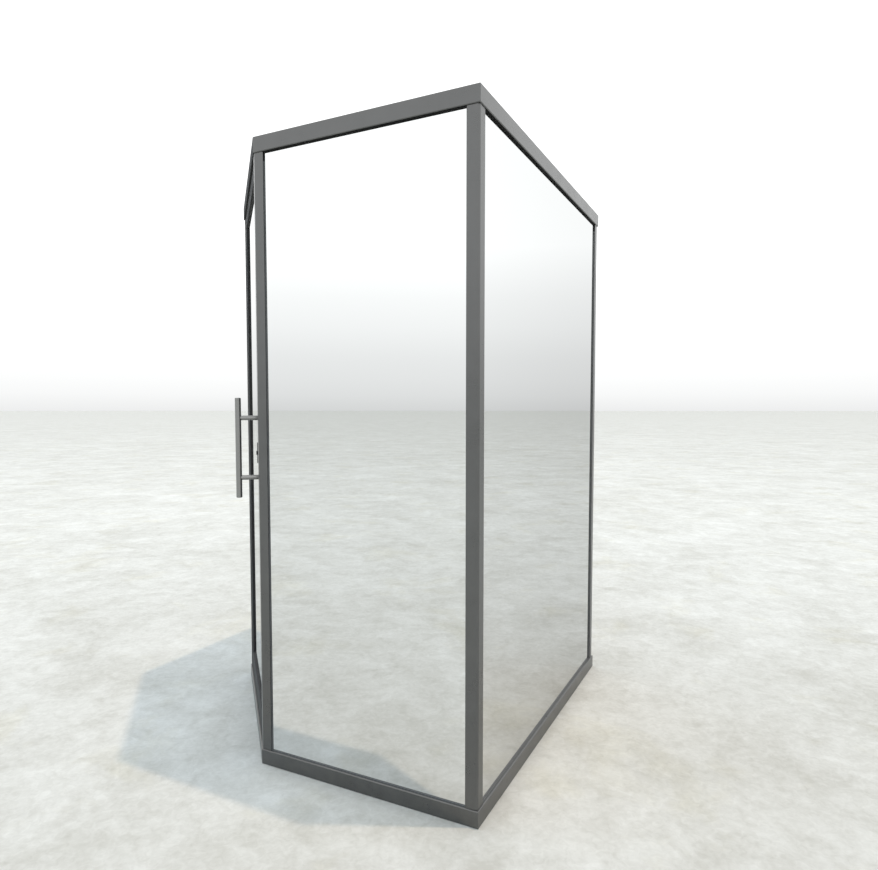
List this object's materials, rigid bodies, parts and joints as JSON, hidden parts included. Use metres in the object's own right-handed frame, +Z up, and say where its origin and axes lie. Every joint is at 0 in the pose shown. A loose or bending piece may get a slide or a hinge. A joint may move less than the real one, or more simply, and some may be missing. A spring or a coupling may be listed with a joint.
{
  "type": "telephone booth",
  "caption": "Five-sided mirror-glass telephone booth with a pivot door across its cut corner, a tubular pull handle, a deadbolt and a hands-free telephone inside",
  "frame": {"origin": "on the ground, at the centre of the square plan (the box's bottom centre)", "axes": "+Z up; -Y out through the short front wall, +X out through the long right wall; the door closes the cut corner at -X -Y and faces it"},
  "size_m": [1.375, 1.3789, 2.1],
  "materials": {
    "frame_metal": "mid-grey satin powder coat on extruded aluminium-like profiles",
    "mirror_glass": "two-way mirror glass, reflective coating on the outer face",
    "rubber": "black EPDM",
    "stainless": "brushed stainless steel",
    "galvanised": "galvanised steel",
    "roof_metal": "grey coated aluminium hollow-core panel",
    "floor_covering": "dark studded floor covering on a board",
    "light_white": "white enamel",
    "light_diffuser": "opal diffuser",
    "corner_laminate": "light grey laminate",
    "phone_black": "black moulded plastic, fine texture",
    "lock_dark": "black anodised",
    "key_metal": "satin steel with plain numbers",
    "key_green": "green",
    "key_red": "red"
  },
  "bodies": {
    "booth": {"post_front_right": "frame_metal", "post_rear_right": "frame_metal", "post_rear_left": "frame_metal", "post_hinge": "frame_metal", "post_strike": "frame_metal", "base_rail_right": "frame_metal", "base_rail_rear": "frame_metal", "base_rail_left": "frame_metal", "base_rail_door": "frame_metal", "base_rail_front": "frame_metal", "cap_rail_right": "frame_metal", "cap_rail_rear": "frame_metal", "cap_rail_left": "frame_metal", "cap_rail_door": "frame_metal", "cap_rail_front": "frame_metal", "pane_right": "mirror_glass", "pane_rear": "mirror_glass", "pane_left": "mirror_glass", "pane_front": "mirror_glass", "wide_gaskets": "rubber", "narrow_gaskets": "rubber", "roof_panel": "roof_metal", "floor_panel": "floor_covering", "anchor_brackets": "galvanised", "light_housing": "light_white", "light_lens": "light_diffuser", "corner_panel": "corner_laminate", "phone_case": "phone_black", "phone_plate": "stainless", "top_pivot": "stainless", "bottom_pivot": "stainless", "strike_plate": "stainless", "door_seal": "rubber"},
    "door": {"hinge_stile": "frame_metal", "lock_stile": "frame_metal", "door_top_rail": "frame_metal", "door_bottom_rail": "frame_metal", "door_glass": "mirror_glass", "door_gasket": "rubber", "pivot_blocks": "stainless", "handle_bar": "stainless", "handle_standoffs": "stainless", "handle_bolts": "stainless", "lock_case": "lock_dark", "lock_escutcheons": "lock_dark"},
    "lock_turn": {"lock_cylinder": "lock_dark", "thumb_turn": "stainless"},
    "deadbolt": {"deadbolt": "stainless"},
    "key_1": {"key_1": "key_metal"},
    "key_2": {"key_2": "key_metal"},
    "key_3": {"key_3": "key_metal"},
    "key_4": {"key_4": "key_metal"},
    "key_5": {"key_5": "key_metal"},
    "key_6": {"key_6": "key_metal"},
    "key_7": {"key_7": "key_metal"},
    "key_8": {"key_8": "key_metal"},
    "key_9": {"key_9": "key_metal"},
    "key_end": {"key_end": "key_red"},
    "key_0": {"key_0": "key_metal"},
    "key_call": {"key_call": "key_green"}
  },
  "joints": [
    {"name": "door_hinge", "type": "hinge", "parent": "booth", "child": "door", "pos_m": [-0.63824, -0.14413, 0.058], "axis": [0, 0, -1], "range_deg": [0, 100]},
    {"name": "lock_turn", "type": "hinge", "parent": "door", "child": "lock_turn", "pos_m": [-0.14766, -0.62481, 1.065], "axis": [0.7071, 0.7071, 0], "range_deg": [0, 90]},
    {"name": "bolt_slide", "type": "slide", "parent": "door", "child": "deadbolt", "axis": [0.7071, -0.7071, 0], "range_m": [0, 0.015]},
    {"name": "key_1_press", "type": "slide", "parent": "booth", "child": "key_1", "axis": [0.7071, 0.7071, 0], "range_m": [0, 0.002], "stiffness_N_per_m": 300},
    {"name": "key_2_press", "type": "slide", "parent": "booth", "child": "key_2", "axis": [0.7071, 0.7071, 0], "range_m": [0, 0.002], "stiffness_N_per_m": 300},
    {"name": "key_3_press", "type": "slide", "parent": "booth", "child": "key_3", "axis": [0.7071, 0.7071, 0], "range_m": [0, 0.002], "stiffness_N_per_m": 300},
    {"name": "key_4_press", "type": "slide", "parent": "booth", "child": "key_4", "axis": [0.7071, 0.7071, 0], "range_m": [0, 0.002], "stiffness_N_per_m": 300},
    {"name": "key_5_press", "type": "slide", "parent": "booth", "child": "key_5", "axis": [0.7071, 0.7071, 0], "range_m": [0, 0.002], "stiffness_N_per_m": 300},
    {"name": "key_6_press", "type": "slide", "parent": "booth", "child": "key_6", "axis": [0.7071, 0.7071, 0], "range_m": [0, 0.002], "stiffness_N_per_m": 300},
    {"name": "key_7_press", "type": "slide", "parent": "booth", "child": "key_7", "axis": [0.7071, 0.7071, 0], "range_m": [0, 0.002], "stiffness_N_per_m": 300},
    {"name": "key_8_press", "type": "slide", "parent": "booth", "child": "key_8", "axis": [0.7071, 0.7071, 0], "range_m": [0, 0.002], "stiffness_N_per_m": 300},
    {"name": "key_9_press", "type": "slide", "parent": "booth", "child": "key_9", "axis": [0.7071, 0.7071, 0], "range_m": [0, 0.002], "stiffness_N_per_m": 300},
    {"name": "key_end_press", "type": "slide", "parent": "booth", "child": "key_end", "axis": [0.7071, 0.7071, 0], "range_m": [0, 0.002], "stiffness_N_per_m": 300},
    {"name": "key_0_press", "type": "slide", "parent": "booth", "child": "key_0", "axis": [0.7071, 0.7071, 0], "range_m": [0, 0.002], "stiffness_N_per_m": 300},
    {"name": "key_call_press", "type": "slide", "parent": "booth", "child": "key_call", "axis": [0.7071, 0.7071, 0], "range_m": [0, 0.002], "stiffness_N_per_m": 300}
  ],
  "couplings": [
    {"joint": "lock_turn", "follows": "bolt_slide", "rad_per_m": 104.72}
  ]
}
